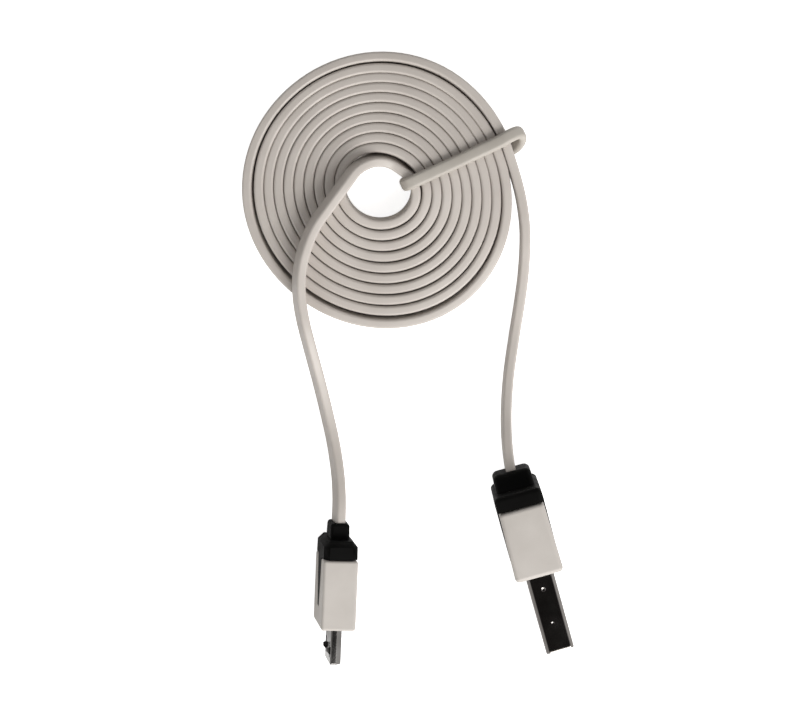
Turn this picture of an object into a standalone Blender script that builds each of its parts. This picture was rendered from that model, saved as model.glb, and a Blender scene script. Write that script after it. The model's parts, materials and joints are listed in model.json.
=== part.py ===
"""A flat charging lead, wound on edge into a spiral and tied, with a full-size plug on one end and a
micro plug on the other. Metres, +Z up, lying on z = 0, seen as it lies on a table from above."""
import bpy
import bmesh
from math import cos, pi, radians, sin
from mathutils import Vector

MM = 0.001

# The flat lead, which stands on its narrow edge all the way
LEAD_THICKNESS = 1.5 * MM
LEAD_WIDTH = 4.0 * MM
LEAD_STEP = 3.2 * MM

# The spiral coil, tilted because the tie passes under one side of it
COIL_CENTRE = Vector((-10.72, 59.46, 0.0)) * MM
COIL_OUTER = 21.3 * MM
COIL_INNER = 6.0 * MM
TIE_ANGLE = radians(24.0)
COIL_TILT = radians(3.1)

# The tie, a soft loop round one side of the coil
TIE_RADIUS = 0.6 * MM
TIE_OFFSET = -1.3 * MM
# Distance along the tie from the coil's centre, and height, in millimetres
TIE_SECTION = [(4.6, 0.7), (5.9, 0.62), (9.0, 0.6), (14.0, 0.6), (19.0, 0.6), (22.3, 0.8), (23.6, 2.2),
               (23.6, 4.4), (22.9, 6.9), (21.3, 7.4), (17.0, 7.2), (12.0, 6.9), (8.2, 6.7), (5.7, 6.4),
               (4.8, 5.4), (4.35, 3.4), (4.25, 1.9)]

# Clearances between touching pieces
GAP = 0.3 * MM
FINE_GAP = 0.06 * MM

# What both plugs' mouldings share: the sleeve's walls on its wide sides, narrow sides and front, and the
# radius of their edges
WIDE_WALL = 0.65 * MM
NARROW_WALL = 1.0 * MM
FRONT_WALL = 1.3 * MM
EDGE = 0.5 * MM
WIRE_RADIUS = 0.3 * MM

# Full-size plug, along its own +X from the seam between collar and sleeve
A_SHELL = (4.5 * MM, 12.0 * MM)
A_SHELL_WALL = 0.3 * MM
A_SHELL_BACK = 4.0 * MM
A_SLEEVE = (7.75 * MM, 15.7 * MM)
A_SLEEVE_LENGTH = 11.4 * MM
A_SLEEVE_REAR = (0.93, 0.98)
A_TIP = 23.9 * MM
A_COLLAR_LENGTH = 2.3 * MM
A_NECK_LENGTH = 2.5 * MM
A_NECK = (6.0 * MM, 9.4 * MM)
A_INLAY = (6.6 * MM, 8.9 * MM)
A_WINDOW_X = (A_TIP - 7.2 * MM, A_TIP - 5.0 * MM)
A_WINDOW_Z = 3.1 * MM
A_WINDOW_HALF = 1.15 * MM
A_TONGUE_TOP = -0.15 * MM
A_ROOT_FRONT = 10.4 * MM
A_CONTACTS = (-3.5 * MM, -1.0 * MM, 1.0 * MM, 3.5 * MM)
A_CONTACT_BACK = 3.0 * MM
A_CONTACT_WIDTH = 1.0 * MM
A_CONTACT_SHEET = 0.15 * MM

# Micro plug, along its own +X from the seam between collar and sleeve
M_SHELL = (1.8 * MM, 6.85 * MM)
M_SHELL_WALL = 0.22 * MM
M_SHELL_BACK = 4.0 * MM
M_SLEEVE = (5.5 * MM, 10.5 * MM)
M_SLEEVE_LENGTH = 11.3 * MM
M_SLEEVE_REAR = (1.0, 1.0)
M_TIP = 17.1 * MM
M_COLLAR_LENGTH = 2.6 * MM
M_NECK_LENGTH = 2.8 * MM
M_NECK = (3.2 * MM, 5.6 * MM)
M_INLAY = (4.6 * MM, 8.1 * MM)
M_CORNER_CUT = 0.75 * MM
M_CORNER_BREAK = 0.15 * MM
M_TONGUE = (-0.62 * MM, -0.22 * MM)
M_TONGUE_HALF = 1.75 * MM
M_CONTACT_PITCH = 0.65 * MM
M_CONTACT_X = (3.2 * MM, M_TIP - 1.6 * MM)
M_CONTACT_WIDTH = 0.3 * MM
M_CONTACT_SHEET = 0.1 * MM
LATCH_SLOT_X = (M_TIP - 3.6 * MM, M_TIP - 1.0 * MM)
LATCH_SLOT_HALF = 0.45 * MM
LATCH_WIDTH = 0.6 * MM
LATCH_Z = 2.25 * MM
LATCH_ROOT_X = 9.6 * MM
LATCH_Y = 0.42 * MM

# Where the plugs lie, from the coil's centre: the seam's centre, and the way that each points
A_PLACE = Vector((22.45, -48.95, 7.965)) * MM
A_HEADING = radians(-74.2)
A_ROLL = radians(2.0)
M_PLACE = Vector((-6.15, -58.1, 5.46)) * MM
M_HEADING = radians(-92.2)
M_ROLL = radians(174.0)

# Routes of the two free runs, in millimetres from the coil's centre, chosen by hand
A_ROUTE = [(22.2, 0.6, 4.3), (23.2, -4.5, 4.2), (23.45, -8.8, 3.8), (23.25, -13.7, 3.1), (22.75, -18.2, 2.6),
           (21.9, -24.0, 2.4), (21.05, -30.0, 3.2), (20.6, -35.6, 5.0), (20.65, -40.3, 7.0)]
M_ROUTE = [(2.3, 4.1, 3.5), (-0.6, 4.55, 4.6), (-3.4, 3.4, 6.2), (-5.3, 0.9, 7.2), (-7.2, -1.9, 7.3),
           (-9.8, -5.6, 7.1), (-11.4, -9.4, 7.0), (-12.2, -13.2, 6.85), (-12.2, -17.0, 6.7),
           (-11.6, -20.8, 6.4), (-10.55, -25.0, 5.3), (-9.15, -30.3, 3.6), (-7.85, -35.6, 2.7),
           (-6.75, -40.6, 2.8), (-6.05, -45.4, 3.8), (-5.85, -49.4, 4.9)]

for old in list(bpy.data.objects):
    bpy.data.objects.remove(old, do_unlink=True)


def new_collection(name):
    collection = bpy.data.collections.new(name)
    bpy.context.scene.collection.children.link(collection)
    return collection


parts = new_collection("charging_cable")
cutters = new_collection("cutters")


# Materials

def finish(name, colour, roughness, metallic=0.0):
    material = bpy.data.materials.new(name)
    material.use_nodes = True
    shader = material.node_tree.nodes["Principled BSDF"]
    shader.inputs["Base Color"].default_value = (*colour, 1.0)
    shader.inputs["Roughness"].default_value = roughness
    shader.inputs["Metallic"].default_value = metallic
    return material


CREAM = finish("cream_jacket", (0.62, 0.57, 0.50), 0.45)
WHITE = finish("white_sleeve", (0.70, 0.66, 0.60), 0.40)
BLACK = finish("black_mould", (0.012, 0.011, 0.011), 0.50)
STEEL = finish("plated_steel", (0.42, 0.40, 0.39), 0.28, 1.0)
GOLD = finish("gold_contact", (0.80, 0.58, 0.25), 0.25, 1.0)
TONGUE = finish("tongue_plastic", (0.03, 0.03, 0.032), 0.45)
NATURAL = finish("inner_mould", (0.70, 0.68, 0.62), 0.60)
RED = finish("red_wire", (0.50, 0.03, 0.03), 0.40)
GREEN = finish("green_wire", (0.04, 0.28, 0.07), 0.40)
PALE = finish("white_wire", (0.75, 0.74, 0.70), 0.40)
DARK = finish("black_wire", (0.02, 0.02, 0.02), 0.40)


# Building blocks

def add_piece(name, data, material, parent=None, collection=parts):
    piece = bpy.data.objects.new(name, data)
    data.materials.append(material)
    collection.objects.link(piece)
    piece.parent = parent
    if collection is cutters:
        piece.hide_render = True
        piece.display_type = "WIRE"
    return piece


def block(name, x, y, z, material, parent, radius=0.0, every_edge=False, rear=(1.0, 1.0), collection=parts):
    """A block between the given limits, its edges along X (or all of them) rounded, and its end at
    x[0] narrowed in Y and Z by the two factors in rear."""
    bm = bmesh.new()
    bmesh.ops.create_cube(bm, size=1.0)
    middle = Vector((sum(x), sum(y), sum(z))) / 2
    bmesh.ops.scale(bm, vec=(x[1] - x[0], y[1] - y[0], z[1] - z[0]), verts=bm.verts)
    for vert in bm.verts:
        if vert.co.x < 0:
            vert.co.y *= rear[0]
            vert.co.z *= rear[1]
    if radius:
        along = [edge for edge in bm.edges if every_edge or edge.calc_length() >= 0.99 * (x[1] - x[0])
                 and abs((edge.verts[0].co - edge.verts[1].co).x) > 0.9 * edge.calc_length()]
        bmesh.ops.bevel(bm, geom=along, offset=radius, segments=2, profile=0.5, affect="EDGES", material=-1)
    bmesh.ops.translate(bm, vec=middle, verts=bm.verts)
    mesh = bpy.data.meshes.new(name)
    bm.to_mesh(mesh)
    bm.free()
    return add_piece(name, mesh, material, parent, collection)


def combine(piece, other, operation):
    """Joins another shape to a piece, or cuts it away."""
    boolean = piece.modifiers.new(other.name, "BOOLEAN")
    boolean.operation = operation
    boolean.object = other


def rounded_outline(wide_y, wide_z, radius, corner_steps=3):
    """A rectangle with round corners in the Y-Z plane, anticlockwise seen from +X."""
    points = []
    for corner, (side_y, side_z) in enumerate(((1, 1), (-1, 1), (-1, -1), (1, -1))):
        for step in range(corner_steps + 1):
            angle = pi / 2 * (corner + step / corner_steps)
            points.append((side_y * (wide_y / 2 - radius) + radius * cos(angle),
                           side_z * (wide_z / 2 - radius) + radius * sin(angle)))
    return points


def sheet_tube(name, outline, x, wall, material, parent):
    """A folded sheet-metal tube: the outline drawn along X as an open surface, thickened inwards."""
    bm = bmesh.new()
    ring = [bm.verts.new((x[0], y, z)) for y, z in outline]
    edges = [bm.edges.new((ring[i], ring[(i + 1) % len(ring)])) for i in range(len(ring))]
    drawn = bmesh.ops.extrude_edge_only(bm, edges=edges)["geom"]
    far = [item for item in drawn if isinstance(item, bmesh.types.BMVert)]
    bmesh.ops.translate(bm, vec=(x[1] - x[0], 0.0, 0.0), verts=far)
    for face in bm.faces:
        middle = face.calc_center_median()
        if face.normal.y * middle.y + face.normal.z * middle.z < 0:
            face.normal_flip()
    mesh = bpy.data.meshes.new(name)
    bm.to_mesh(mesh)
    bm.free()
    piece = add_piece(name, mesh, material, parent)
    solid = piece.modifiers.new("wall", "SOLIDIFY")
    solid.thickness = wall
    solid.offset = -1.0
    solid.use_even_offset = True
    return piece


def strip(name, outline, width, middle_z, material, parent):
    """A strip cut to an outline in the X-Y plane and as wide as width along Z."""
    curve = bpy.data.curves.new(name, "CURVE")
    curve.dimensions = "2D"
    curve.fill_mode = "BOTH"
    curve.extrude = width / 2
    spline = curve.splines.new("POLY")
    spline.points.add(len(outline) - 1)
    spline.use_cyclic_u = True
    for point, (x, y) in zip(spline.points, outline):
        point.co = (x, y, 0.0, 1.0)
    piece = add_piece(name, curve, material, parent)
    piece.location.z = middle_z
    return piece


def smooth(route, step):
    """Points about step apart on a smooth curve through a route's own points."""
    route = [Vector(point) for point in route]
    route = [2 * route[0] - route[1]] + route + [2 * route[-1] - route[-2]]
    points = []
    for a, b, c, d in zip(route, route[1:], route[2:], route[3:]):
        count = max(1, round((c - b).length / step))
        for i in range(count):
            t = i / count
            points.append(0.5 * (2 * b + t * (c - a) + t * t * (2 * a - 5 * b + 4 * c - d)
                                 + t ** 3 * (3 * b - a - 3 * c + d)))
    return points + [route[-2]]


def cord(name, points, radius, material, flat=0.0, parent=None, closed=False, sides=2):
    """A tube along the points. With flat, a flat lead whose section reaches that much further up and
    down than a round one would."""
    curve = bpy.data.curves.new(name, "CURVE")
    curve.dimensions = "3D"
    curve.twist_mode = "Z_UP"
    curve.bevel_depth = radius
    curve.bevel_resolution = sides
    curve.extrude = flat
    curve.use_fill_caps = not closed
    spline = curve.splines.new("POLY")
    spline.points.add(len(points) - 1)
    spline.use_cyclic_u = closed
    for point, place in zip(spline.points, points):
        point.co = (*place, 1.0)
    return add_piece(name, curve, material, parent)


def plug_frame(name, place, heading, roll):
    """An empty at a plug's seam: its +X points out of the plug, and its Z lies along the wide side."""
    frame = bpy.data.objects.new(name, None)
    parts.objects.link(frame)
    frame.location = COIL_CENTRE + place
    frame.rotation_euler = (roll, 0.0, heading)
    return frame


def plug_body(prefix, frame, sleeve, length, rear, collar_length, neck, neck_length, shell, shell_back, inlay):
    """The black mould and the white sleeve of a plug. The mould is a core with a collar and a neck behind
    it, hollow for the shell, and a tapered inlay on each wide side fills a slot in the sleeve."""
    half_y, half_z = sleeve[0] / 2, sleeve[1] / 2
    core_y, core_z = half_y - WIDE_WALL - GAP, half_z - NARROW_WALL - GAP
    core_front = length - FRONT_WALL
    lead_y, lead_z = LEAD_THICKNESS / 2 + 0.1 * MM, LEAD_WIDTH / 2 + 0.1 * MM

    mould = block(prefix + "_overmould", (-collar_length, 0.0), (-half_y, half_y), (-half_z, half_z),
                  BLACK, frame, EDGE, rear=(0.95, 0.96))
    added = [block(prefix + "_core", (-0.5 * MM, core_front), (-core_y, core_y), (-core_z, core_z),
                   BLACK, frame, EDGE, collection=cutters),
             block(prefix + "_neck", (-collar_length - neck_length, 0.1 * MM - collar_length),
                   (-neck[0] / 2, neck[0] / 2), (-neck[1] / 2, neck[1] / 2), BLACK, frame, EDGE,
                   rear=(0.9, 0.85), collection=cutters),
             tapered_bar(prefix + "_inlay", half_y - 0.02 * MM, *inlay, 0.0, frame)]
    for shape in added:
        combine(mould, shape, "UNION")
    pocket = block(prefix + "_pocket", (shell_back - GAP, length), (-shell[0] / 2 - GAP, shell[0] / 2 + GAP),
                   (-shell[1] / 2 - GAP, shell[1] / 2 + GAP), BLACK, frame, collection=cutters)
    cavity = block(prefix + "_cavity", (0.2 * MM - collar_length, shell_back),
                   (0.6 * MM - core_y, core_y - 0.6 * MM), (1.2 * MM - core_z, core_z - 1.2 * MM),
                   BLACK, frame, collection=cutters)
    bore = block(prefix + "_bore", (-collar_length - neck_length - MM, 0.5 * MM),
                 (-lead_y, lead_y), (-lead_z, lead_z), BLACK, frame, collection=cutters)
    for shape in (pocket, cavity, bore):
        combine(mould, shape, "DIFFERENCE")

    cover = block(prefix + "_sleeve", (GAP, length), (-half_y, half_y), (-half_z, half_z),
                  WHITE, frame, EDGE, every_edge=True, rear=rear)
    hollow = block(prefix + "_hollow", (-MM, core_front + GAP), (-core_y - GAP, core_y + GAP),
                   (-core_z - GAP, core_z + GAP), WHITE, frame, EDGE, collection=cutters)
    mouth = block(prefix + "_mouth", (core_front, length + MM), (-shell[0] / 2 - GAP, shell[0] / 2 + GAP),
                  (-shell[1] / 2 - GAP, shell[1] / 2 + GAP), WHITE, frame, collection=cutters)
    slot = tapered_bar(prefix + "_slot", half_y + MM, *inlay, GAP, frame)
    for shape in (hollow, mouth, slot):
        combine(cover, shape, "DIFFERENCE")
    return mould, cover


def tapered_bar(name, reach, width, length, extra, frame):
    """A bar across the plug that narrows to a blunt point towards its tip, grown all round by extra."""
    bm = bmesh.new()
    half = width / 2
    tip = 0.35 * half
    outline = [(-0.4 * MM, half + extra), (0.45 * length, half + extra), (length + extra, tip + extra),
               (length + extra, -tip - extra), (0.45 * length, -half - extra), (-0.4 * MM, -half - extra)]
    face = bm.faces.new([bm.verts.new((x, -reach, z)) for x, z in outline])
    grown = bmesh.ops.extrude_face_region(bm, geom=[face])["geom"]
    bmesh.ops.translate(bm, vec=(0.0, 2 * reach, 0.0),
                        verts=[item for item in grown if isinstance(item, bmesh.types.BMVert)])
    bmesh.ops.recalc_face_normals(bm, faces=bm.faces)
    mesh = bpy.data.meshes.new(name)
    bm.to_mesh(mesh)
    bm.free()
    return add_piece(name, mesh, BLACK, frame, cutters)


def wires(prefix, frame, start_x, end_x, ends):
    """The four wires that fan out from the flat lead to the contacts."""
    fan = (-1.35 * MM, -0.45 * MM, 0.45 * MM, 1.35 * MM)
    kinds = (("power", RED), ("data_minus", PALE), ("data_plus", GREEN), ("ground", DARK))
    for (kind, colour), near, (far_y, far_z) in zip(kinds, fan, ends):
        middle = (start_x + end_x) / 2
        route = [(start_x, 0.0, near), (start_x + 0.25 * (end_x - start_x), 0.0, near),
                 (middle, far_y / 2, (near + far_z) / 2), (end_x - 0.25 * (end_x - start_x), far_y, far_z),
                 (end_x, far_y, far_z)]
        cord(prefix + "_wire_" + kind, smooth(route, 0.8 * MM), WIRE_RADIUS, colour, parent=frame)


# Full-size plug

a_frame = plug_frame("usb_a_frame", A_PLACE, A_HEADING, A_ROLL)
plug_body("usb_a", a_frame, A_SLEEVE, A_SLEEVE_LENGTH, A_SLEEVE_REAR, A_COLLAR_LENGTH, A_NECK, A_NECK_LENGTH,
          A_SHELL, A_SHELL_BACK, A_INLAY)

a_shell = sheet_tube("usb_a_shell", rounded_outline(*A_SHELL, 0.6 * MM), (A_SHELL_BACK, A_TIP),
                     A_SHELL_WALL, STEEL, a_frame)
for window_z in (-A_WINDOW_Z, A_WINDOW_Z):
    window = block("usb_a_window", A_WINDOW_X, (-A_SHELL[0], A_SHELL[0]),
                   (window_z - A_WINDOW_HALF, window_z + A_WINDOW_HALF), STEEL, a_frame, collection=cutters)
    combine(a_shell, window, "DIFFERENCE")

a_inside_y = A_SHELL[0] / 2 - A_SHELL_WALL - FINE_GAP
a_inside_z = A_SHELL[1] / 2 - A_SHELL_WALL - 0.3 * MM
a_insulator = block("usb_a_insulator", (A_SHELL_BACK + 0.6 * MM, A_TIP - 0.8 * MM),
                    (-a_inside_y, A_TONGUE_TOP), (-a_inside_z, a_inside_z), TONGUE, a_frame, 0.2 * MM)
a_root = block("usb_a_insulator_root", (A_SHELL_BACK + 0.6 * MM, A_ROOT_FRONT),
               (A_TONGUE_TOP - 0.3 * MM, a_inside_y), (-a_inside_z, a_inside_z), TONGUE, a_frame, 0.2 * MM,
               collection=cutters)
combine(a_insulator, a_root, "UNION")
a_contact_low = A_TONGUE_TOP + FINE_GAP
a_contact = [(A_CONTACT_BACK, a_contact_low), (A_TIP - 1.2 * MM, a_contact_low),
             (A_TIP - 1.7 * MM, a_contact_low + A_CONTACT_SHEET),
             (A_CONTACT_BACK, a_contact_low + A_CONTACT_SHEET)]
for index, contact_z in enumerate(A_CONTACTS, 1):
    groove = block("usb_a_groove", (A_SHELL_BACK, A_ROOT_FRONT + 0.6 * MM),
                   (A_TONGUE_TOP, A_TONGUE_TOP + 0.3 * MM), (contact_z - 0.6 * MM, contact_z + 0.6 * MM),
                   TONGUE, a_frame, collection=cutters)
    combine(a_insulator, groove, "DIFFERENCE")
    strip("usb_a_contact_%d" % index, a_contact, A_CONTACT_WIDTH, contact_z, GOLD, a_frame)

a_inner = block("usb_a_inner_mould", (0.0, A_SHELL_BACK - GAP), (-1.9 * MM, 1.9 * MM), (-5.0 * MM, 5.0 * MM),
                NATURAL, a_frame, 0.3 * MM)
combine(a_inner, block("usb_a_wire_room", (-MM, A_SHELL_BACK + MM), (-0.75 * MM, 0.75 * MM),
                       (-4.4 * MM, 4.4 * MM), NATURAL, a_frame, collection=cutters), "DIFFERENCE")
wires("usb_a", a_frame, -3.6 * MM, 2.7 * MM, [(0.0, z) for z in A_CONTACTS])


# Micro plug

m_frame = plug_frame("micro_frame", M_PLACE, M_HEADING, M_ROLL)
plug_body("micro", m_frame, M_SLEEVE, M_SLEEVE_LENGTH, M_SLEEVE_REAR, M_COLLAR_LENGTH, M_NECK, M_NECK_LENGTH,
          M_SHELL, M_SHELL_BACK, M_INLAY)

m_half_y, m_half_z = M_SHELL[0] / 2, M_SHELL[1] / 2
m_cut_z = m_half_z - M_CORNER_CUT
m_outline = [(m_half_y, m_half_z - M_CORNER_BREAK), (m_half_y - M_CORNER_BREAK, m_half_z),
             (-0.05 * MM, m_half_z), (-m_half_y, m_cut_z), (-m_half_y, -m_cut_z), (-0.05 * MM, -m_half_z),
             (m_half_y - M_CORNER_BREAK, -m_half_z), (m_half_y, M_CORNER_BREAK - m_half_z)]
m_shell = sheet_tube("micro_shell", m_outline, (M_SHELL_BACK, M_TIP), M_SHELL_WALL, STEEL, m_frame)
for side in (-1, 1):
    slot = block("micro_latch_slot", LATCH_SLOT_X, (0.2 * MM, 2 * MM),
                 (side * LATCH_Z - LATCH_SLOT_HALF, side * LATCH_Z + LATCH_SLOT_HALF),
                 STEEL, m_frame, collection=cutters)
    combine(m_shell, slot, "DIFFERENCE")

m_inside_z = m_half_z - M_SHELL_WALL - 0.45 * MM
m_insulator = block("micro_insulator", (M_SHELL_BACK + 0.4 * MM, M_TIP - 1.4 * MM), M_TONGUE,
                    (-M_TONGUE_HALF, M_TONGUE_HALF), TONGUE, m_frame)
m_root = block("micro_insulator_root", (M_SHELL_BACK + 0.4 * MM, LATCH_ROOT_X - 0.4 * MM),
               (M_TONGUE[0] + 0.1 * MM, m_half_y - M_SHELL_WALL - FINE_GAP), (-m_inside_z, m_inside_z),
               TONGUE, m_frame, collection=cutters)
combine(m_insulator, m_root, "UNION")
m_slots = [i * M_CONTACT_PITCH for i in range(-2, 3)]
for index, contact_z in enumerate(m_slots, 1):
    groove = block("micro_groove", (M_SHELL_BACK, LATCH_ROOT_X), (M_TONGUE[1], M_TONGUE[1] + 0.2 * MM),
                   (contact_z - 0.2 * MM, contact_z + 0.2 * MM), TONGUE, m_frame, collection=cutters)
    combine(m_insulator, groove, "DIFFERENCE")
    low = M_TONGUE[1] + 0.05 * MM
    outline = [(M_CONTACT_X[0], low), (M_CONTACT_X[1], low), (M_CONTACT_X[1], low + M_CONTACT_SHEET),
               (M_CONTACT_X[0], low + M_CONTACT_SHEET)]
    strip("micro_contact_%d" % index, outline, M_CONTACT_WIDTH, contact_z, GOLD, m_frame)

# Each latch is a sprung arm whose hook stands out through a slot in the shell
m_arm = [(LATCH_ROOT_X, LATCH_Y - 0.08 * MM), (M_TIP - 1.1 * MM, LATCH_Y - 0.08 * MM),
         (M_TIP - 1.2 * MM, LATCH_Y + 0.3 * MM), (M_TIP - 2.0 * MM, LATCH_Y + 0.95 * MM),
         (M_TIP - 2.5 * MM, LATCH_Y + 0.95 * MM), (M_TIP - 2.9 * MM, LATCH_Y + 0.1 * MM),
         (LATCH_ROOT_X, LATCH_Y + 0.1 * MM)]
for name, side in (("left", 1), ("right", -1)):
    strip("micro_latch_" + name, m_arm, LATCH_WIDTH, side * LATCH_Z, STEEL, m_frame)

m_inner = block("micro_inner_mould", (0.0, M_SHELL_BACK - GAP), (-0.8 * MM, 0.8 * MM), (-2.45 * MM, 2.45 * MM),
                NATURAL, m_frame, 0.2 * MM)
combine(m_inner, block("micro_wire_room", (-MM, M_SHELL_BACK + MM), (-0.45 * MM, 0.45 * MM),
                       (-1.95 * MM, 1.95 * MM), NATURAL, m_frame, collection=cutters), "DIFFERENCE")
wires("micro", m_frame, -3.9 * MM, 2.9 * MM, [(0.0, -1.35 * MM), (0.0, -0.62 * MM), (0.0, 0.62 * MM),
                                              (0.0, 1.35 * MM)])


# The coil: one ring of the outer shape of all its turns, tilted where the tie lifts it

profile = bpy.data.meshes.new("cable_coil")
bm = bmesh.new()
corner = 0.5 * MM
section = [(COIL_INNER, corner), (COIL_INNER + corner, 0.0), (COIL_OUTER - corner, 0.0), (COIL_OUTER, corner),
           (COIL_OUTER, LEAD_WIDTH - corner), (COIL_OUTER - corner, LEAD_WIDTH),
           (COIL_INNER + corner, LEAD_WIDTH), (COIL_INNER, LEAD_WIDTH - corner)]
rim = [bm.verts.new((r, 0.0, z)) for r, z in section]
for i in range(len(rim)):
    bm.edges.new((rim[i], rim[(i + 1) % len(rim)]))
bm.to_mesh(profile)
bm.free()
coil = add_piece("cable_coil", profile, CREAM)
turn = coil.modifiers.new("turn", "SCREW")
turn.steps = turn.render_steps = 48
turn.use_merge_vertices = True
turn.merge_threshold = 0.00001
turn.use_normal_calculate = True
coil.rotation_mode = "AXIS_ANGLE"
coil.rotation_axis_angle = (COIL_TILT, sin(TIE_ANGLE), -cos(TIE_ANGLE), 0.0)
coil.location = COIL_CENTRE + Vector((0.0, 0.0, COIL_OUTER * sin(COIL_TILT)))


# The free runs of the lead and the tie

def from_centre(route):
    return [COIL_CENTRE + Vector(point) * MM for point in route]


def behind(frame_place, heading, distance):
    """The point at a distance behind a plug's seam, on its axis."""
    return COIL_CENTRE + frame_place - Vector((cos(heading), sin(heading), 0.0)) * distance


flat = LEAD_WIDTH / 2 - LEAD_THICKNESS / 2
a_end = behind(A_PLACE, A_HEADING, A_COLLAR_LENGTH + A_NECK_LENGTH + GAP)
cord("cable_run_usb_a", smooth(from_centre(A_ROUTE) + [a_end], LEAD_STEP), LEAD_THICKNESS / 2, CREAM, flat)
m_end = behind(M_PLACE, M_HEADING, M_COLLAR_LENGTH + M_NECK_LENGTH + GAP)
cord("cable_run_micro", smooth(from_centre(M_ROUTE) + [m_end], LEAD_STEP), LEAD_THICKNESS / 2, CREAM, flat)

along = Vector((cos(TIE_ANGLE), sin(TIE_ANGLE), 0.0))
across = Vector((-sin(TIE_ANGLE), cos(TIE_ANGLE), 0.0))
tie_points = [COIL_CENTRE + along * reach * MM + across * TIE_OFFSET + Vector((0.0, 0.0, height * MM))
              for reach, height in TIE_SECTION]
cord("cable_tie", tie_points, TIE_RADIUS, CREAM, closed=True)
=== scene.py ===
import json
from math import cos, exp, pi, radians, sin

import bmesh
import bpy
from mathutils import Matrix, Vector


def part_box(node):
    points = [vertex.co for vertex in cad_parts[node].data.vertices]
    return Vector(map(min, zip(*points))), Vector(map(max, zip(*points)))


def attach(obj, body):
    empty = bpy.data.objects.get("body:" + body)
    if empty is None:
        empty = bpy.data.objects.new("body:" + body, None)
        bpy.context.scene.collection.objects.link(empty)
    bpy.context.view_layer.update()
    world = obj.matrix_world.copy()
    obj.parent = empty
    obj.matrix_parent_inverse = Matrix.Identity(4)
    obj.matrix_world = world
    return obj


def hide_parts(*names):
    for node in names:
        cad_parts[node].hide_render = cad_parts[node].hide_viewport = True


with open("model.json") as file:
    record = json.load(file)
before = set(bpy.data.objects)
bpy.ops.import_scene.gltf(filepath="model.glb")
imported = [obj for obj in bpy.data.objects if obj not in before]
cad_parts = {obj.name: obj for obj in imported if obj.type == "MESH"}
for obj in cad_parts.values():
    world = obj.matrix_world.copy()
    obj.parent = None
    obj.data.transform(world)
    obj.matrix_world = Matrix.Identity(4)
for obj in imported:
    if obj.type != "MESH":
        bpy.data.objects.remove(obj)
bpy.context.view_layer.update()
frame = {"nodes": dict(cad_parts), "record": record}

MM = 0.001


# The table, the light and the camera. The cable lies on a plain pale table, under one soft window on the
# near right and a sky that is bright at its rim and dim overhead, so that the metal shows dark with light
# edges. The camera looks down from above the table, a little past the coil.

coil_low, coil_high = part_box("cable_coil")
TIE_HEADING = radians(24.0)
COIL_TILT = radians(3.1)
LEAD_WIDTH = 4.0 * MM
tie_way = Vector((cos(TIE_HEADING), sin(TIE_HEADING), 0.0))
coil_centre = (coil_low + coil_high) / 2 + tie_way * LEAD_WIDTH / 2 * sin(COIL_TILT)
coil_centre.z = 0.0

CAMERA_HEIGHT = 447 * MM
CAMERA_FOOT = Vector((-15.1, 20.1, 0.0)) * MM
CAMERA_TILT = radians(6.54)
CAMERA_LEAN = radians(-68.2)
LENS_LENGTH = 126.7
lens = bpy.data.cameras.new("camera")
lens.sensor_width = 36.0
lens.lens = LENS_LENGTH
lens.clip_start = 0.01
camera = bpy.data.objects.new("camera", lens)
bpy.context.scene.collection.objects.link(camera)
bpy.context.scene.camera = camera
look = Vector((sin(CAMERA_TILT) * cos(CAMERA_LEAN), sin(CAMERA_TILT) * sin(CAMERA_LEAN), -cos(CAMERA_TILT)))
right = (Vector((1.0, 0.0, 0.0)) - look * look.x).normalized()
turn = Matrix((right, right.cross(look), -look)).transposed().to_4x4()
camera.matrix_world = Matrix.Translation(coil_centre + CAMERA_FOOT + Vector((0, 0, CAMERA_HEIGHT))) @ turn

WINDOW_HEADING, WINDOW_RISE, WINDOW_DISTANCE = radians(-58.0), radians(48.0), 0.42
WINDOW_AIM = Vector((0.0, 0.015, 0.0))
window = bpy.data.lights.new("window", "AREA")
window.shape = "DISK"
window.size = 0.26
window.energy = 1.22
window.color = (1.0, 0.99, 0.975)
window_frame = bpy.data.objects.new("window", window)
bpy.context.scene.collection.objects.link(window_frame)
from_window = Vector((cos(WINDOW_RISE) * cos(WINDOW_HEADING), cos(WINDOW_RISE) * sin(WINDOW_HEADING),
                      sin(WINDOW_RISE)))
window_frame.location = WINDOW_AIM + from_window * WINDOW_DISTANCE
window_frame.rotation_euler = from_window.to_track_quat("Z", "Y").to_euler()

# The sky fades with height, and is brighter on the window's side
sky = bpy.data.worlds.new("sky")
sky.use_nodes = True
bpy.context.scene.world = sky
nodes, links = sky.node_tree.nodes, sky.node_tree.links
direction = nodes.new("ShaderNodeTexCoord")
height = nodes.new("ShaderNodeSeparateXYZ")
links.new(direction.outputs["Generated"], height.inputs[0])
fade = nodes.new("ShaderNodeValToRGB")
fade.color_ramp.elements[0].position = 0.74
fade.color_ramp.elements[0].color = (1.0, 0.99, 0.98, 1.0)
fade.color_ramp.elements[1].position = 0.95
fade.color_ramp.elements[1].color = (0.02, 0.019, 0.018, 1.0)
links.new(height.outputs["Z"], fade.inputs["Fac"])
towards = nodes.new("ShaderNodeVectorMath")
towards.operation = "DOT_PRODUCT"
towards.inputs[1].default_value = (cos(WINDOW_HEADING), sin(WINDOW_HEADING), 0.0)
links.new(direction.outputs["Generated"], towards.inputs[0])
side = nodes.new("ShaderNodeMapRange")
side.inputs["From Min"].default_value = -1.0
side.inputs["To Min"].default_value = 0.20
side.inputs["To Max"].default_value = 1.65
links.new(towards.outputs["Value"], side.inputs["Value"])
shaded = nodes.new("ShaderNodeMix")
shaded.data_type = "RGBA"
shaded.blend_type = "MULTIPLY"
shaded.inputs["Factor"].default_value = 1.0
links.new(fade.outputs["Color"], shaded.inputs["A"])
links.new(side.outputs["Result"], shaded.inputs["B"])
links.new(shaded.outputs["Result"], nodes["Background"].inputs["Color"])
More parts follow.
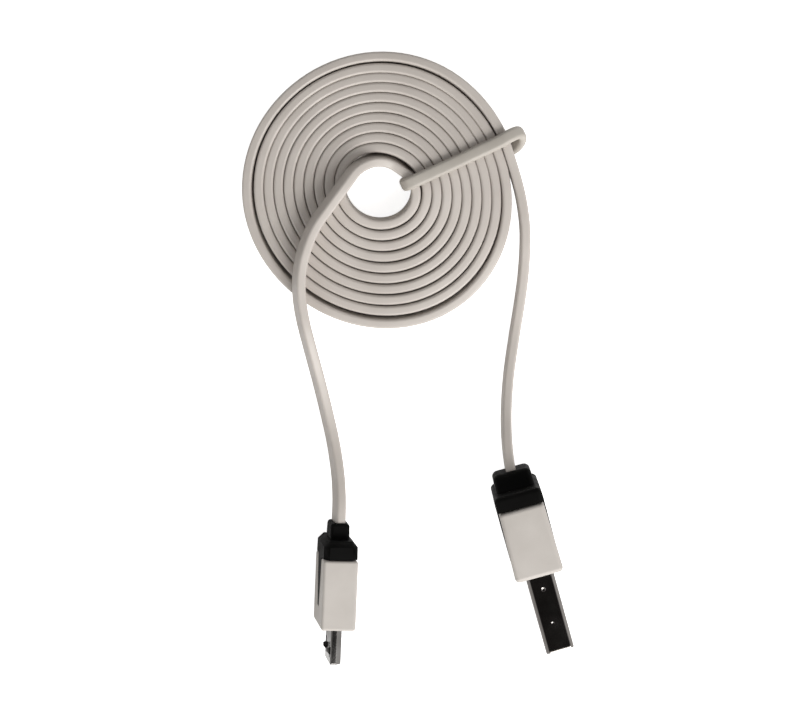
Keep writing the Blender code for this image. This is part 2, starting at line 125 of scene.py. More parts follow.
nodes["Background"].inputs["Strength"].default_value = 0.92

bpy.context.scene.view_settings.view_transform = "Standard"

# The table glows to the camera only, so it shows white and lights nothing
TABLE_HALF, TABLE_DROP, TABLE_GLOW = 1.2, 0.05 * MM, 0.8
bm = bmesh.new()
bmesh.ops.create_grid(bm, x_segments=1, y_segments=1, size=TABLE_HALF)
bmesh.ops.translate(bm, vec=(0.0, 0.0, -TABLE_DROP), verts=bm.verts)
table_mesh = bpy.data.meshes.new("table")
bm.to_mesh(table_mesh)
bm.free()
table = bpy.data.objects.new("table", table_mesh)
bpy.context.scene.collection.objects.link(table)
table_finish = bpy.data.materials.new("table")
table_finish.use_nodes = True
paper = table_finish.node_tree.nodes["Principled BSDF"]
paper.inputs["Base Color"].default_value = (0.90, 0.90, 0.90, 1.0)
paper.inputs["Roughness"].default_value = 0.9
paper.inputs["Specular IOR Level"].default_value = 0.1
paper.inputs["Emission Color"].default_value = (1.0, 1.0, 1.0, 1.0)
seen = table_finish.node_tree.nodes.new("ShaderNodeLightPath")
glow = table_finish.node_tree.nodes.new("ShaderNodeMath")
glow.operation = "MULTIPLY"
glow.inputs[1].default_value = TABLE_GLOW
table_finish.node_tree.links.new(seen.outputs["Is Camera Ray"], glow.inputs[0])
table_finish.node_tree.links.new(glow.outputs["Value"], paper.inputs["Emission Strength"])
table_mesh.materials.append(table_finish)


# The flat lead. One length of extruded flat cable, four conductors side by side in a soft satin jacket,
# stood on its narrow edge and wound inwards from the full-size plug's run in ten touching turns; from the
# middle it climbs over the coil to the micro plug.

LEAD_THICKNESS = 1.5 * MM
LEAD_EDGE = 0.42 * MM
TURNS = 10
POINTS_A_TURN = 96
COIL_START = radians(20.0)
FIRST_RADIUS = 21.36 * MM
COIL_PITCH = 1.613 * MM
# How far the coil is from round, in millimetres: for each number of lobes, a size along X and along Y for
# the first turn, and how each changes from turn to turn
OUT_OF_ROUND = [(1, 0.616, -0.013, -0.611, 0.063), (2, -0.073, 0.029, -0.387, 0.012),
                (3, -0.219, 0.031, -0.080, 0.008)]
# The tilted coil rests on its edge this far from its centre, and its turns stand a little clear
COIL_REST, TURN_LIFT, RIPPLE = 21.3 * MM, 0.1 * MM, 0.05 * MM
ROUTE_STEP = 0.8 * MM
# From the coil's centre, in millimetres: from the coil's outside to the full-size plug, and from the
# coil's middle, over it, to the micro plug
A_ROUTE = [(22.2, 0.6, 4.3), (23.2, -4.5, 4.2), (23.45, -8.8, 3.8), (23.25, -13.7, 3.1),
           (22.75, -18.2, 2.6), (21.9, -24.0, 2.4), (21.05, -30.0, 3.2), (20.6, -35.6, 5.0),
           (20.65, -40.3, 7.0)]
M_ROUTE = [(2.3, 4.1, 3.5), (-0.6, 4.4, 4.6), (-3.25, 3.2, 6.2), (-5.2, 0.8, 7.2), (-7.2, -1.9, 7.3),
           (-9.8, -5.6, 7.1), (-11.4, -9.4, 7.0), (-12.2, -13.2, 6.85), (-12.2, -17.0, 6.7),
           (-11.6, -20.8, 6.4), (-10.55, -25.0, 5.3), (-9.15, -30.3, 3.6), (-7.85, -35.6, 2.7),
           (-6.75, -40.6, 2.8), (-6.05, -45.4, 3.8), (-5.85, -49.4, 4.9)]


def plug_place(stop_name, side_name, length, off_axis, side_sign):
    """A plug's own frame, from the record's faces: +X out of the plug, Z along its wide side, and the
    origin on its axis where the sleeve meets the collar."""
    faces = {mount["name"]: mount for mount in frame["record"]["mounts"]}
    forward = Vector(faces[stop_name]["axis"]).normalized()
    wide = (forward.cross(Vector(faces[side_name]["axis"])) * side_sign).normalized()
    place = Matrix((forward, wide.cross(forward), wide)).transposed().to_4x4()
    place.translation = Vector(faces[stop_name]["pos_m"]) - forward * length - wide * off_axis
    return place


def smooth(route, step):
    """Points about step apart on a smooth curve through the route's own points."""
    route = [2 * route[0] - route[1]] + route + [2 * route[-1] - route[-2]]
    points = []
    for a, b, c, d in zip(route, route[1:], route[2:], route[3:]):
        count = max(1, round((c - b).length / step))
        for i in range(count):
            t = i / count
            points.append(0.5 * (2 * b + t * (c - a) + t * t * (2 * a - 5 * b + 4 * c - d)
                                 + t ** 3 * (3 * b - a - 3 * c + d)))
    return points + [route[-2]]


def coil_floor(x, y):
    """How high the tilted coil's underside is at a place, from the coil's centre."""
    return (COIL_REST + x * tie_way.x + y * tie_way.y) * sin(COIL_TILT)


def turn_point(turns):
    """The lead's centreline after so many turns. The coil is a little egg-shaped, more so outside, and
    the first turn stands off the second."""
    angle = COIL_START + 2 * pi * turns
    radius = FIRST_RADIUS - COIL_PITCH * turns
    for lobes, x_size, x_change, y_size, y_change in OUT_OF_ROUND:
        radius += (x_size + x_change * turns) * MM * cos(lobes * angle)
        radius += (y_size + y_change * turns) * MM * sin(lobes * angle)
    outermost = min(max((1.05 - turns) / 0.25, 0.0), 1.0)
    radius += outermost * (0.05 - 0.22 * sin(angle) + 0.05 * sin(2 * angle)) * MM
    radius -= (1 - outermost) * 0.15 * (1 + sin(angle)) * exp((1 - turns) / 2) * MM
    x, y = radius * cos(angle), radius * sin(angle)
    ripple = RIPPLE * (sin(2.3 * angle) + sin(0.71 * angle + 1.0))
    return Vector((x, y, coil_floor(x, y) + LEAD_WIDTH / 2 + TURN_LIFT + ripple))


def extruded(name, points, section, tilts, closed, twist):
    """The mesh of a section drawn along the points: section is its outline, tilts its turn at each
    point."""
    line = bpy.data.curves.new(name, "CURVE")
    line.dimensions = "3D"
    line.twist_mode = twist
    line.use_fill_caps = not closed
    spline = line.splines.new("POLY")
    spline.points.add(len(points) - 1)
    spline.use_cyclic_u = closed
    for knot, place, tilt in zip(spline.points, points, tilts):
        knot.co = (*place, 1.0)
        knot.tilt = tilt
    outline = bpy.data.curves.new(name + "_section", "CURVE")
    outline.dimensions = "2D"
    loop = outline.splines.new("POLY")
    loop.points.add(len(section) - 1)
    loop.use_cyclic_u = True
    for knot, (x, y) in zip(loop.points, section):
        knot.co = (x, y, 0.0, 1.0)
    along = bpy.data.objects.new(name, line)
    across = bpy.data.objects.new(name + "_section", outline)
    for helper in (along, across):
        bpy.context.scene.collection.objects.link(helper)
    line.bevel_mode = "OBJECT"
    line.bevel_object = across
    mesh = bpy.data.meshes.new_from_object(along.evaluated_get(bpy.context.evaluated_depsgraph_get()))
    for helper in (along, across):
        bpy.data.objects.remove(helper)
    bm = bmesh.new()
    bm.from_mesh(mesh)
    bmesh.ops.remove_doubles(bm, verts=bm.verts, dist=0.001 * MM)
    bmesh.ops.recalc_face_normals(bm, faces=bm.faces)
    bm.to_mesh(mesh)
    bm.free()
    mesh.name = name
    mesh.materials.clear()
    return mesh


def rounded_section(wide, high, radius, steps):
    """The outline of a strip with round edges."""
    outline = []
    for corner, (side_x, side_y) in enumerate(((1, 1), (-1, 1), (-1, -1), (1, -1))):
        for step in range(steps + 1):
            angle = pi / 2 * (corner + step / steps)
            outline.append((side_x * (wide / 2 - radius) + radius * cos(angle),
                            side_y * (high / 2 - radius) + radius * sin(angle)))
    return outline


def moulded(name, tones, patch, roughness, grain, depth, sheen=0.5):
    """A moulded or extruded plastic. tones are two near colours that drift into each other over patches
    that wide, roughness is a low and a high value, and grain and depth are the surface's fine texture."""
    finish = bpy.data.materials.new(name)
    finish.use_nodes = True
    nodes, links = finish.node_tree.nodes, finish.node_tree.links
    shader = nodes["Principled BSDF"]
    shader.inputs["Specular IOR Level"].default_value = sheen
    place = nodes.new("ShaderNodeTexCoord")
    drift = nodes.new("ShaderNodeTexNoise")
    drift.inputs["Scale"].default_value = 1 / patch
    drift.inputs["Detail"].default_value = 3.0
    links.new(place.outputs["Object"], drift.inputs["Vector"])
    ramp = nodes.new("ShaderNodeValToRGB")
    ramp.color_ramp.elements[0].position = 0.32
    ramp.color_ramp.elements[0].color = (*tones[0], 1.0)
    ramp.color_ramp.elements[1].position = 0.68
    ramp.color_ramp.elements[1].color = (*tones[1], 1.0)
    links.new(drift.outputs["Fac"], ramp.inputs["Fac"])
    links.new(ramp.outputs["Color"], shader.inputs["Base Color"])
    handled = nodes.new("ShaderNodeTexNoise")
    handled.inputs["Scale"].default_value = 2.7 / patch
    handled.inputs["Detail"].default_value = 5.0
    links.new(place.outputs["Object"], handled.inputs["Vector"])
    polish = nodes.new("ShaderNodeMapRange")
    polish.inputs["From Min"].default_value = 0.3
    polish.inputs["From Max"].default_value = 0.7
    polish.inputs["To Min"].default_value = roughness[0]
    polish.inputs["To Max"].default_value = roughness[1]
    links.new(handled.outputs["Fac"], polish.inputs["Value"])
    links.new(polish.outputs["Result"], shader.inputs["Roughness"])
    pores = nodes.new("ShaderNodeTexNoise")
    pores.inputs["Scale"].default_value = 1 / grain
    pores.inputs["Detail"].default_value = 2.0
    links.new(place.outputs["Object"], pores.inputs["Vector"])
    bump = nodes.new("ShaderNodeBump")
    bump.inputs["Strength"].default_value = 0.6
    bump.inputs["Distance"].default_value = depth
    links.new(pores.outputs["Fac"], bump.inputs["Height"])
    links.new(bump.outputs["Normal"], shader.inputs["Normal"])
    return finish


def settle(name, mesh, finish, body, nodes, crease=radians(35)):
    """Puts a finished piece in the scene: its finish, the body that it rides on, and the nodes that it
    stands for."""
    mesh.materials.append(finish)
    mesh.shade_smooth()
    mesh.set_sharp_from_angle(angle=crease)
    piece = bpy.data.objects.new(name, mesh)
    bpy.context.scene.collection.objects.link(piece)
    piece.modifiers.new("normals", "WEIGHTED_NORMAL").keep_sharp = True
    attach(piece, body)
    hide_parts(*nodes)
    return piece


# How far each plug's stop face is in front of its collar, and off its axis
A_STOP, M_STOP = (11.4 * MM, 6.85 * MM), (11.3 * MM, 4.25 * MM)
a_place = plug_place("usb_a_stop_face", "usb_a_sleeve_face", *A_STOP, 1)
m_place = plug_place("micro_stop_face", "micro_sleeve_face", *M_STOP, -1)
A_NECK_END, M_NECK_END = -4.8 * MM, -5.4 * MM

a_run = [coil_centre + Vector(point) * MM for point in A_ROUTE]
m_run = [coil_centre + Vector(point) * MM for point in M_ROUTE]
a_neck = [a_place @ Vector((x, 0.0, 0.0)) for x in (A_NECK_END, A_NECK_END + 2.6 * MM)]
m_neck = [m_place @ Vector((x, 0.0, 0.0)) for x in (M_NECK_END, M_NECK_END + 2.9 * MM)]
turns = [coil_centre + turn_point(i / POINTS_A_TURN) for i in range(TURNS * POINTS_A_TURN + 1)]
before = smooth(list(reversed(a_run + a_neck)) + turns[:2], ROUTE_STEP)[:-1]
after = smooth(turns[-2:] + m_run + m_neck, ROUTE_STEP)[1:]
lead_line = before[:-1] + turns + after[1:]

# The turns lean out a little at the top, the first one more, and the run to the micro plug leans the other
# way
FIRST_TURN_LEAN, TURN_LEAN, RUN_LEAN = radians(9.0), radians(5.0), radians(-12.0)
# The number of points over which the lean sets in, and over which it changes at the middle
LEAN_IN, LEAN_OVER = 20, 22
first_turn = len(before) - 1
last_turn = first_turn + len(turns) - 1
lead_tilts = []
for i in range(len(lead_line)):
    started = min(max((i - first_turn) / LEAN_IN + 0.5, 0.0), 1.0)
    second = min(max((i - first_turn) / POINTS_A_TURN - 0.8, 0.0), 0.25) * 4
    rising = min(max((i - last_turn) / LEAN_OVER + 0.7, 0.0), 1.0)
    rising = rising * rising * (3 - 2 * rising)
    lean = FIRST_TURN_LEAN + (TURN_LEAN - FIRST_TURN_LEAN) * second
    lead_tilts.append(started * lean * (1 - rising) + RUN_LEAN * rising)

lead_mesh = extruded("flat_lead", lead_line, rounded_section(LEAD_THICKNESS, LEAD_WIDTH, LEAD_EDGE, 4),
                     lead_tilts, False, "Z_UP")
jacket = moulded("satin_jacket", ((0.50, 0.459, 0.423), (0.56, 0.519, 0.480)), 9 * MM, (0.38, 0.52),
                 0.12 * MM, 0.004 * MM)
lead = settle("flat_lead", lead_mesh, jacket, "cable",
              ["cable_coil", "cable_run_usb_a", "cable_run_micro"], radians(60))


# The tie. A soft coated strip that goes through the middle of the coil and round its outside, over the
# run to the full-size plug, and closes under it.

TIE_WIDTH, TIE_THICKNESS = 2.1 * MM, 1.3 * MM
# Along the tie from the coil's centre, across it, and up, in millimetres
TIE_LOOP = [(5.6, -1.2, 6.2), (9.0, -1.15, 6.4), (13.0, -1.1, 6.6), (17.0, -1.0, 6.85), (20.4, -0.9, 7.15),
            (22.5, -0.7, 7.2), (23.8, -0.85, 6.2), (24.15, -1.5, 4.4), (23.6, -2.4, 2.6), (22.3, -3.0, 1.1),
            (20.0, -2.8, 0.7), (15.0, -2.0, 0.65), (10.0, -1.4, 0.65), (6.2, -1.2, 0.75), (4.75, -1.2, 1.4),
            (4.3, -1.2, 2.9), (4.35, -1.2, 4.6), (4.75, -1.2, 5.7)]
tie_side = Vector((-tie_way.y, tie_way.x, 0.0))
loop = [coil_centre + (tie_way * along + tie_side * across + Vector((0, 0, up))) * MM
        for along, across, up in TIE_LOOP]
wrapped = loop[-2:] + loop + loop[:2]
tie_line = smooth(wrapped, 0.35 * MM)
start = min(range(len(tie_line)), key=lambda i: (tie_line[i] - loop[0]).length)
tie_line = tie_line[start:]
end = min(range(8, len(tie_line)), key=lambda i: (tie_line[i] - loop[0]).length)
tie_line = tie_line[:end]
tie_mesh = extruded("soft_tie", tie_line, rounded_section(TIE_WIDTH, TIE_THICKNESS, 0.6 * MM, 5),
                    [0.0] * len(tie_line), True, "MINIMUM")
coating = moulded("tie_coating", ((0.425, 0.394, 0.352), (0.475, 0.443, 0.398)), 4 * MM, (0.42, 0.56),
                  0.12 * MM, 0.005 * MM)
tie = settle("soft_tie", tie_mesh, coating, "cable", ["cable_tie"], radians(60))


# The full-size plug's sleeve. A white moulded box pushed over the black mould from the front, square in
# front, with a tapered slot down each wide side.

def block(x, y, z, radius=0.0, steps=3, every_edge=False, rear=(1.0, 1.0)):
    """A block between the given limits, its edges along X (or all of them) rounded, and its end at x[0]
    narrowed in Y and Z by the two factors in rear."""
    bm = bmesh.new()
    bmesh.ops.create_cube(bm, size=1.0)
    bmesh.ops.scale(bm, vec=(x[1] - x[0], y[1] - y[0], z[1] - z[0]), verts=bm.verts)
    bmesh.ops.scale(bm, vec=(1.0, *rear), verts=[vert for vert in bm.verts if vert.co.x < 0])
    if radius:
        edges = [edge for edge in bm.edges if every_edge or edge.verts[0].co.x * edge.verts[1].co.x < 0]
        bmesh.ops.bevel(bm, geom=edges, offset=radius, segments=steps, profile=0.5, affect="EDGES",
                        material=-1)
    bmesh.ops.translate(bm, vec=Vector((sum(x), sum(y), sum(z))) / 2, verts=bm.verts)
    return bm


def bar(outline, reach):
    """A bar across a plug, from -reach to reach in Y, on an outline in X and Z."""
    bm = bmesh.new()
    face = bm.faces.new([bm.verts.new((x, -reach, z)) for x, z in outline])
    grown = bmesh.ops.extrude_face_region(bm, geom=[face])["geom"]
    bmesh.ops.translate(bm, vec=(0.0, 2 * reach, 0.0),
                        verts=[item for item in grown if isinstance(item, bmesh.types.BMVert)])
    bmesh.ops.recalc_face_normals(bm, faces=bm.faces)
    return bm


def worked(name, body, place, joined=(), cut=(), edge=0.06 * MM):
    """The mesh of a body with shapes joined to it and cut from it, its edges softened, put in its place."""
    mesh = bpy.data.meshes.new(name)
    body.to_mesh(mesh)
    carrier = bpy.data.objects.new(name, mesh)
    bpy.context.scene.collection.objects.link(carrier)
    helpers = [carrier]
    for operation, shapes in (("UNION", joined), ("DIFFERENCE", cut)):
        for shape in shapes:
            tool_mesh = bpy.data.meshes.new(name + "_tool")
            shape.to_mesh(tool_mesh)
            tool = bpy.data.objects.new(name + "_tool", tool_mesh)
            bpy.context.scene.collection.objects.link(tool)
            helpers.append(tool)
            step = carrier.modifiers.new("step", "BOOLEAN")
            step.operation = operation
            step.object = tool
    soften = carrier.modifiers.new("soften", "BEVEL")
    soften.width = edge
    soften.segments = 2
    soften.limit_method = "ANGLE"
    soften.angle_limit = radians(40)
    soften.use_clamp_overlap = True
    result = bpy.data.meshes.new_from_object(carrier.evaluated_get(bpy.context.evaluated_depsgraph_get()))
    result.name = name
    result.transform(place)
    for helper in helpers:
        bpy.data.objects.remove(helper)
    return result


def inlay(width, tip, length, extra):
    """The outline of a plug's side inlay, which narrows towards its tip, grown all round by extra."""
    return [(-0.6 * MM, width / 2 + extra), (length + extra, tip / 2 + extra),
            (length + extra, -tip / 2 - extra), (-0.6 * MM, -width / 2 - extra)]


SEAM = 0.10 * MM
A_SLEEVE_Y, A_SLEEVE_Z, A_SLEEVE_LENGTH = 3.875 * MM, 7.85 * MM, 11.4 * MM
A_CORE_Y, A_CORE_Z, A_CORE_FRONT = 3.0 * MM, 6.7 * MM, 10.2 * MM
A_SHELL_Y, A_SHELL_Z = 2.25 * MM, 6.0 * MM
A_INLAY = (6.6 * MM, 2.4 * MM, 8.9 * MM)
white = moulded("white_sleeve", ((0.475, 0.444, 0.412), (0.52, 0.488, 0.456)), 6 * MM, (0.40, 0.52),
                0.10 * MM, 0.003 * MM, 0.35)
a_sleeve = worked(
    "usb_a_sleeve_cover",
    block((SEAM, A_SLEEVE_LENGTH), (-A_SLEEVE_Y, A_SLEEVE_Y), (-A_SLEEVE_Z, A_SLEEVE_Z), 0.7 * MM, 5,
          True, (0.93, 0.98)), a_place,
    cut=[block((-MM, A_CORE_FRONT + SEAM), (-A_CORE_Y - SEAM, A_CORE_Y + SEAM),
               (-A_CORE_Z - SEAM, A_CORE_Z + SEAM), 0.4 * MM),
         block((A_CORE_FRONT - MM, A_SLEEVE_LENGTH + MM), (-A_SHELL_Y - SEAM, A_SHELL_Y + SEAM),
               (-A_SHELL_Z - SEAM, A_SHELL_Z + SEAM), 0.6 * MM),
         bar(inlay(*A_INLAY, SEAM), A_SLEEVE_Y + MM)])
settle("usb_a_sleeve_cover", a_sleeve, white, "cable", ["usb_a_sleeve"])


# The full-size plug's black mould. It is moulded round the end of the lead: a collar flush with the
# sleeve, a short neck, a core inside the sleeve and an inlay that fills each slot.

black = moulded("black_mould", ((0.0026, 0.0026, 0.0024), (0.0048, 0.0046, 0.0044)), 5 * MM, (0.42, 0.58),
                0.09 * MM, 0.005 * MM, 0.05)
FIT = 0.05 * MM


def mould(name, place, half_y, half_z, collar, corner, neck, neck_length, core, inlay_size, shell):
    """A plug's black mould, hollow where the shell and the lead go in. corner is the size and the number
    of steps of its rounding."""
    end = -collar - neck_length
    body = block((-collar, 2 * corner[0]), (-half_y, half_y), (-half_z, half_z), corner[0], corner[1], True,
                 (0.97, 0.97))
    cut = bmesh.ops.bisect_plane(body, geom=body.verts[:] + body.edges[:] + body.faces[:],
                                 plane_co=(0, 0, 0), plane_no=(1, 0, 0), clear_outer=True)["geom_cut"]
    bmesh.ops.holes_fill(body, edges=[item for item in cut if isinstance(item, bmesh.types.BMEdge)])
    return worked(
        name, body, place,
        joined=[block((end, 1.5 * MM - collar), (-neck[0] / 2, neck[0] / 2), (-neck[1] / 2, neck[1] / 2),
                      neck[2], 4, True, (0.94, neck[3])),
                block((-0.2 * MM, core[2]), (-core[0], core[0]), (-core[1], core[1]), 0.4 * MM),
                bar(inlay(*inlay_size, 0.0), half_y - 0.03 * MM)],
        cut=[block((3.7 * MM, core[2] + MM), (-shell[0] - FIT, shell[0] + FIT),
                   (-shell[1] - FIT, shell[1] + FIT), 0.3 * MM),
             block((end - MM, 3.9 * MM), (-LEAD_THICKNESS / 2 - FIT, LEAD_THICKNESS / 2 + FIT),
                   (-LEAD_WIDTH / 2 - FIT, LEAD_WIDTH / 2 + FIT), 0.3 * MM)],
        edge=0.08 * MM)


a_mould = mould("usb_a_black_mould", a_place, A_SLEEVE_Y, A_SLEEVE_Z, 2.4 * MM, (0.75 * MM, 4),
                (6.4 * MM, 9.4 * MM, 0.8 * MM, 0.62), 2.7 * MM, (A_CORE_Y, A_CORE_Z, A_CORE_FRONT), A_INLAY,
                (A_SHELL_Y, A_SHELL_Z))
settle("usb_a_black_mould", a_mould, black, "cable", ["usb_a_overmould"])


# The full-size plug's shell. Thin plated steel, folded round into a tube whose edges meet in the middle of
# one wide side, with four windows for a socket's springs and a mouth that is drawn in a little.

def plated(name, tones, heading, roughness):
    """Plated steel: a smooth film over faint lines drawn along the plug, with finger marks."""
    finish = bpy.data.materials.new(name)
    finish.use_nodes = True
    nodes, links = finish.node_tree.nodes, finish.node_tree.links
    shader = nodes["Principled BSDF"]
    shader.inputs["Metallic"].default_value = 1.0
    place = nodes.new("ShaderNodeTexCoord")
    smear = nodes.new("ShaderNodeTexNoise")
    smear.inputs["Scale"].default_value = 1 / (3.5 * MM)
    smear.inputs["Detail"].default_value = 6.0
    links.new(place.outputs["Object"], smear.inputs["Vector"])
    ramp = nodes.new("ShaderNodeValToRGB")
    ramp.color_ramp.elements[0].position = 0.3
    ramp.color_ramp.elements[0].color = (*tones[0], 1.0)
    ramp.color_ramp.elements[1].position = 0.7
    ramp.color_ramp.elements[1].color = (*tones[1], 1.0)
    links.new(smear.outputs["Fac"], ramp.inputs["Fac"])
    links.new(ramp.outputs["Color"], shader.inputs["Base Color"])
    polish = nodes.new("ShaderNodeMapRange")
    polish.inputs["To Min"].default_value = roughness[0]
    polish.inputs["To Max"].default_value = roughness[1]
    links.new(smear.outputs["Fac"], polish.inputs["Value"])
    links.new(polish.outputs["Result"], shader.inputs["Roughness"])
    drawn = nodes.new("ShaderNodeMapping")
    drawn.vector_type = "TEXTURE"
    drawn.inputs["Rotation"].default_value = (0.0, 0.0, heading)
    drawn.inputs["Scale"].default_value = (30.0, 1.0, 1.0)
    links.new(place.outputs["Object"], drawn.inputs["Vector"])
    lines = nodes.new("ShaderNodeTexNoise")
    lines.inputs["Scale"].default_value = 1 / (0.06 * MM)
    links.new(drawn.outputs["Vector"], lines.inputs["Vector"])
    bump = nodes.new("ShaderNodeBump")
    bump.inputs["Strength"].default_value = 0.25
    bump.inputs["Distance"].default_value = 0.002 * MM
    links.new(lines.outputs["Fac"], bump.inputs["Height"])
    links.new(bump.outputs["Normal"], shader.inputs["Normal"])
    return finish


def tube(outline, stations):
    """An open tube: the outline in Y and Z drawn through stations of (x, size)."""
    bm = bmesh.new()
    ring = [bm.verts.new((stations[0][0], y * stations[0][1], z * stations[0][1])) for y, z in outline]
    edges = [bm.edges.new((ring[i - 1], ring[i])) for i in range(len(ring))]
    for (x0, size0), (x1, size1) in zip(stations, stations[1:]):
        drawn = bmesh.ops.extrude_edge_only(bm, edges=edges)["geom"]
        ends = [item for item in drawn if isinstance(item, bmesh.types.BMVert)]
        edges = [item for item in drawn if isinstance(item, bmesh.types.BMEdge)
                 and all(vert in ends for vert in item.verts)]
        bmesh.ops.translate(bm, vec=(x1 - x0, 0.0, 0.0), verts=ends)
        bmesh.ops.scale(bm, vec=(1.0, size1 / size0, size1 / size0), verts=ends)
    for face in bm.faces:
        middle = face.calc_center_median()
        if face.normal.y * middle.y + face.normal.z * middle.z < 0:
            face.normal_flip()
    return bm


def walled(name, tube_shape, wall):
    """A tube with its wall put on the inside, as a new bmesh."""
    mesh = bpy.data.meshes.new(name)
    tube_shape.to_mesh(mesh)
    carrier = bpy.data.objects.new(name, mesh)
    bpy.context.scene.collection.objects.link(carrier)
    thicken = carrier.modifiers.new("wall", "SOLIDIFY")
    thicken.thickness = wall
    thicken.offset = -1.0
    thicken.use_even_offset = True
    solid = bmesh.new()
    solid.from_object(carrier, bpy.context.evaluated_depsgraph_get())
    bpy.data.objects.remove(carrier)
    return solid


A_TIP = 23.9 * MM
A_HEADING = radians(-74.2)
shell_outline = rounded_section(2 * A_SHELL_Y, 2 * A_SHELL_Z, 0.65 * MM, 6)
SHELL_BACK = 4.0 * MM
a_tube = tube(shell_outline, [(SHELL_BACK, 1.0), (A_TIP - 0.5 * MM, 1.0), (A_TIP - 0.2 * MM, 0.996),
                              (A_TIP, 0.99)])
windows = [block((A_TIP - 7.2 * MM, A_TIP - 5.0 * MM), (-4 * MM, 4 * MM), (z - 1.15 * MM, z + 1.15 * MM))
           for z in (-3.1 * MM, 3.1 * MM)]
# Two shallow dots are pressed into the narrow side
DIMPLE = 0.9 * MM
dimples = []
for x, depth in ((13.7 * MM, 0.07 * MM), (19.3 * MM, 0.035 * MM)):
    dimple = bmesh.new()
    bmesh.ops.create_uvsphere(dimple, u_segments=64, v_segments=48, radius=DIMPLE)
    bmesh.ops.translate(dimple, vec=(x, 0.0, A_SHELL_Z + DIMPLE - depth), verts=dimple.verts)
    dimples.append(dimple)
seam = block((3 * MM, A_TIP + MM), (A_SHELL_Y - 0.12 * MM, A_SHELL_Y + MM), (-0.04 * MM, 0.04 * MM))
a_shell = worked("usb_a_plated_shell", walled("usb_a_plated_shell", a_tube, 0.3 * MM), a_place,
                 cut=windows + [seam] + dimples, edge=0.05 * MM)
steel = plated("plated_steel", ((0.19, 0.176, 0.168), (0.25, 0.236, 0.224)), A_HEADING, (0.07, 0.15))
settle("usb_a_plated_shell", a_shell, steel, "cable", ["usb_a_shell"], radians(20))


# What the full-size plug holds. The glass-filled tongue with its four gold strips shows in the mouth; the
# pale inner mould and the four coloured wires are sealed in the black one.

tongue = moulded("tongue_plastic", ((0.022, 0.022, 0.024), (0.034, 0.034, 0.036)), 3 * MM, (0.40, 0.55),
                 0.05 * MM, 0.003 * MM)
natural = moulded("natural_mould", ((0.66, 0.64, 0.57), (0.72, 0.70, 0.64)), 3 * MM, (0.5, 0.65),
                  0.08 * MM, 0.004 * MM)
gold = plated("gold_flash", ((0.74, 0.52, 0.20), (0.84, 0.62, 0.28)), A_HEADING, (0.18, 0.30))
insulation = {}
for kind, name, tones in (("power", "red_insulation", ((0.42, 0.02, 0.02), (0.52, 0.035, 0.03))),
                          ("data_minus", "white_insulation", ((0.70, 0.69, 0.65), (0.77, 0.76, 0.72))),
                          ("data_plus", "green_insulation", ((0.03, 0.22, 0.06), (0.05, 0.30, 0.08))),
                          ("ground", "black_insulation", ((0.014, 0.014, 0.014), (0.024, 0.024, 0.024)))):
    insulation[kind] = moulded(name, tones, 2 * MM, (0.3, 0.42), 0.08 * MM, 0.002 * MM)


def refinish(node_name, finish):
    """Gives a carried-over node its finish."""
    data = frame["nodes"][node_name].data
    data.materials.clear()
    data.materials.append(finish)


for prefix, contact_count in (("usb_a", 4), ("micro", 5)):
    refinish(prefix + "_insulator", tongue)
    refinish(prefix + "_inner_mould", natural)
    for index in range(1, contact_count + 1):
        refinish("%s_contact_%d" % (prefix, index), gold)
    for kind, finish in insulation.items():
        refinish("%s_wire_%s" % (prefix, kind), finish)


# The micro plug's sleeve and black mould. They are smaller than the full-size plug's and made the same
# way, with flat-cut corners on the collar and the lead in a shorter neck.

M_SLEEVE_Y, M_SLEEVE_Z, M_SLEEVE_LENGTH = 2.75 * MM, 5.25 * MM, 11.3 * MM
M_CORE_Y, M_CORE_Z, M_CORE_FRONT = 1.9 * MM, 4.1 * MM, 10.1 * MM
M_SHELL_Y, M_SHELL_Z = 0.9 * MM, 3.425 * MM
M_INLAY = (4.6 * MM, 1.7 * MM, 8.1 * MM)
m_sleeve = worked(
    "micro_sleeve_cover",
    block((SEAM, M_SLEEVE_LENGTH), (-M_SLEEVE_Y, M_SLEEVE_Y), (-M_SLEEVE_Z, M_SLEEVE_Z), 0.45 * MM, 4,
          True), m_place,
    cut=[block((-MM, M_CORE_FRONT + SEAM), (-M_CORE_Y - SEAM, M_CORE_Y + SEAM),
               (-M_CORE_Z - SEAM, M_CORE_Z + SEAM), 0.3 * MM),
         block((M_CORE_FRONT - MM, M_SLEEVE_LENGTH + MM), (-M_SHELL_Y - SEAM, M_SHELL_Y + SEAM),
               (-M_SHELL_Z - SEAM, M_SHELL_Z + SEAM), 0.2 * MM),
         bar(inlay(*M_INLAY, SEAM), M_SLEEVE_Y + MM)])
settle("micro_sleeve_cover", m_sleeve, white, "cable", ["micro_sleeve"])
m_mould = mould("micro_black_mould", m_place, M_SLEEVE_Y, M_SLEEVE_Z, 2.9 * MM, (0.9 * MM, 1),
                (3.2 * MM, 5.6 * MM, 0.5 * MM, 0.9), 2.5 * MM, (M_CORE_Y, M_CORE_Z, M_CORE_FRONT), M_INLAY,
                (M_SHELL_Y, M_SHELL_Z))
settle("micro_black_mould", m_mould, black, "cable", ["micro_overmould"])


# The micro plug's shell and its two latches. The shell is folded thinner sheet with two corners cut away,
# so that it goes in one way only; each latch is a sprung arm inside, with a hook out through a slot.

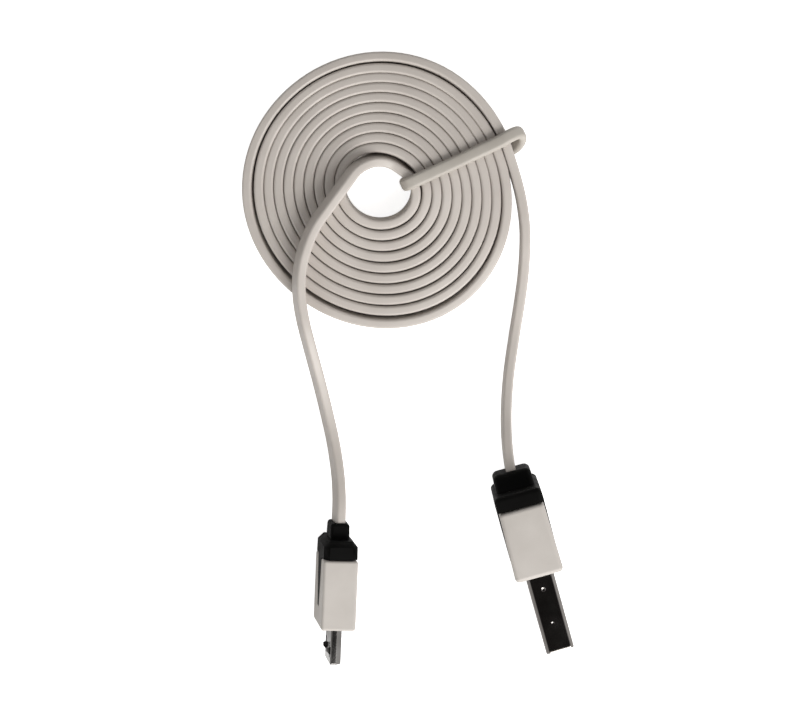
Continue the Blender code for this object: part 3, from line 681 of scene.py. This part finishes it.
M_TIP = 17.1 * MM
M_HEADING = radians(-92.2)
keyed = [(M_SHELL_Y, M_SHELL_Z - 0.2 * MM), (M_SHELL_Y - 0.2 * MM, M_SHELL_Z), (-0.05 * MM, M_SHELL_Z),
         (-M_SHELL_Y, M_SHELL_Z - 0.75 * MM), (-M_SHELL_Y, 0.75 * MM - M_SHELL_Z), (-0.05 * MM, -M_SHELL_Z),
         (M_SHELL_Y - 0.2 * MM, -M_SHELL_Z), (M_SHELL_Y, 0.2 * MM - M_SHELL_Z)]
m_tube = tube(keyed, [(SHELL_BACK, 1.0), (M_TIP - 0.25 * MM, 1.0), (M_TIP, 0.97)])
LATCH_Z, LATCH_Y, LATCH_ROOT = 2.25 * MM, 0.42 * MM, 9.6 * MM
slots = [block((M_TIP - 3.6 * MM, M_TIP - 1.0 * MM), (0.2 * MM, 2 * MM), (z - 0.45 * MM, z + 0.45 * MM))
         for z in (-LATCH_Z, LATCH_Z)]
m_shell = worked("micro_plated_shell", walled("micro_plated_shell", m_tube, 0.22 * MM), m_place,
                 cut=slots, edge=0.05 * MM)
micro_steel = plated("micro_plated_steel", ((0.17, 0.164, 0.158), (0.23, 0.224, 0.218)), M_HEADING,
                     (0.09, 0.18))
settle("micro_plated_shell", m_shell, micro_steel, "cable", ["micro_shell"])

spring_steel = plated("dark_spring_steel", ((0.05, 0.048, 0.046), (0.09, 0.086, 0.082)), M_HEADING,
                      (0.30, 0.45))
arm = [(LATCH_ROOT, LATCH_Y - 0.08 * MM), (M_TIP - 1.1 * MM, LATCH_Y - 0.08 * MM),
       (M_TIP - 1.2 * MM, LATCH_Y + 0.3 * MM), (M_TIP - 2.0 * MM, LATCH_Y + 0.95 * MM),
       (M_TIP - 2.5 * MM, LATCH_Y + 0.95 * MM), (M_TIP - 2.9 * MM, LATCH_Y + 0.1 * MM),
       (LATCH_ROOT, LATCH_Y + 0.1 * MM)]
for side_name, side in (("left", 1), ("right", -1)):
    latch = bar(arm, 0.3 * MM)
    bmesh.ops.rotate(latch, verts=latch.verts, cent=(0, 0, 0), matrix=Matrix.Rotation(radians(-90), 3, "X"))
    bmesh.ops.translate(latch, vec=(0.0, 0.0, side * LATCH_Z), verts=latch.verts)
    latch_mesh = worked("micro_hook_" + side_name, latch, m_place, edge=0.05 * MM)
    settle("micro_hook_" + side_name, latch_mesh, spring_steel, "latch_" + side_name,
           ["micro_latch_" + side_name])
